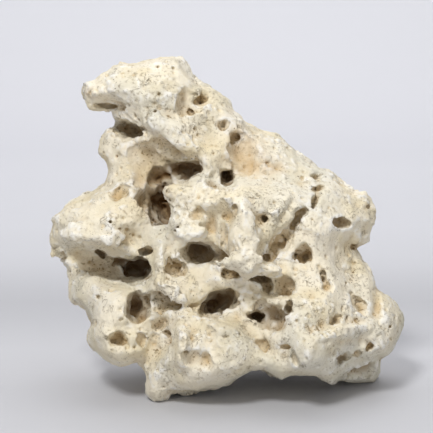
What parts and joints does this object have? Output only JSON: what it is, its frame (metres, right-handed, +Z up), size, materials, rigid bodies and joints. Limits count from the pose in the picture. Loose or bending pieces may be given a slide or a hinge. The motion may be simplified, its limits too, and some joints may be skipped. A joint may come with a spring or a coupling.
{
  "type": "terrarium rock",
  "caption": "Natural holed limestone for a terrarium: a leaning cream-white stone full of round caves, bores, pits and ledges, standing on small feet.",
  "frame": {"origin": "the middle of the bounding box's bottom, on the ground under the stone", "axes": "+Z up; +X along the widest way, toward the stone's lower right flank; -Y out of the pitted face"},
  "size_m": [0.2378, 0.148, 0.2184],
  "materials": {
    "limestone": "matte"
  },
  "bodies": {
    "root": {"rock": "limestone"}
  },
  "joints": []
}
